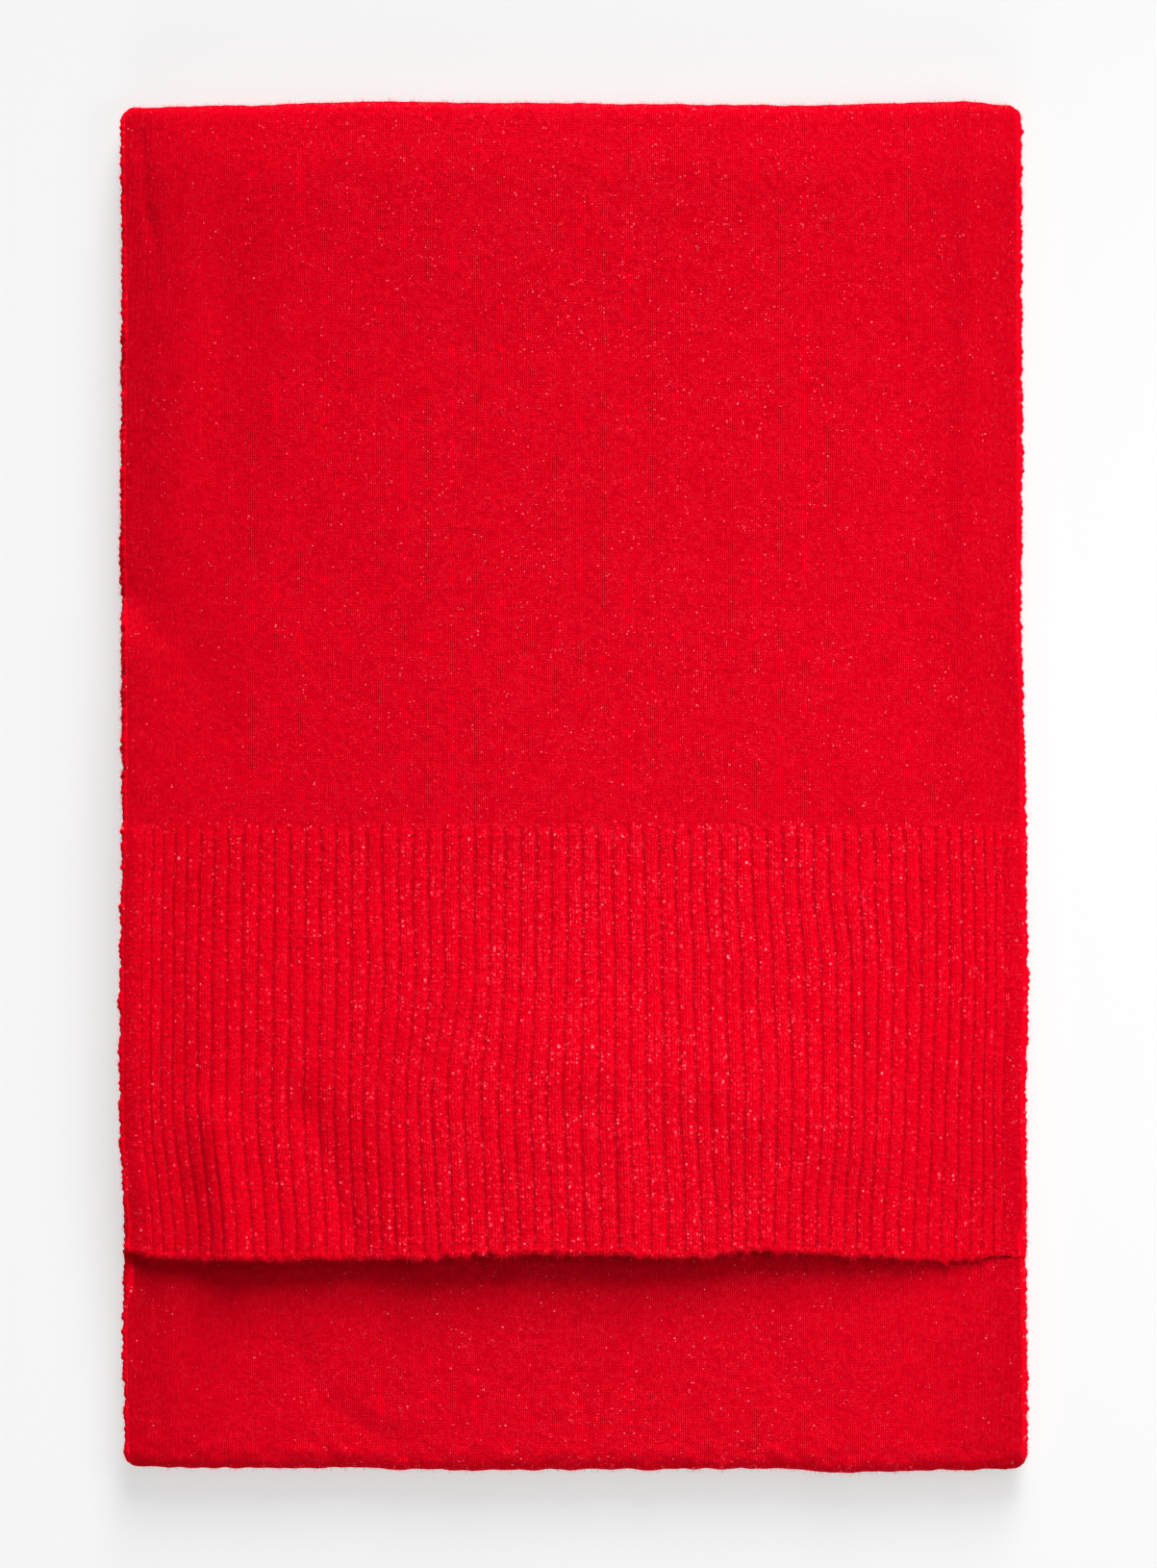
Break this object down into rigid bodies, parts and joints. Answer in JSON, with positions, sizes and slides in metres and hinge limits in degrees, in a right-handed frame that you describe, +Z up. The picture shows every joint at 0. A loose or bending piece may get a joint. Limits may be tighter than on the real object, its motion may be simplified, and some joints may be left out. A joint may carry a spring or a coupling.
{
  "type": "folded knit scarf",
  "caption": "Long plain knit scarf folded into a flat rectangular pile, with one ribbed end loose on top and its hem set back from the bottom fold.",
  "frame": {"origin": "middle of the face that rests, under the folded pile", "axes": "+Z up off the surface, +Y along the pile from the loose hem to the top fold, +X across it to the right"},
  "size_m": [0.302, 0.4557, 0.0195],
  "materials": {
    "red_wool": "soft brushed wool knit, matt, in bright red flecked with pale fibres"
  },
  "bodies": {
    "root": {"ribbed_end": "red_wool", "front_stretch": "red_wool", "second_stretch": "red_wool", "hidden_layers": "red_wool"}
  },
  "joints": []
}
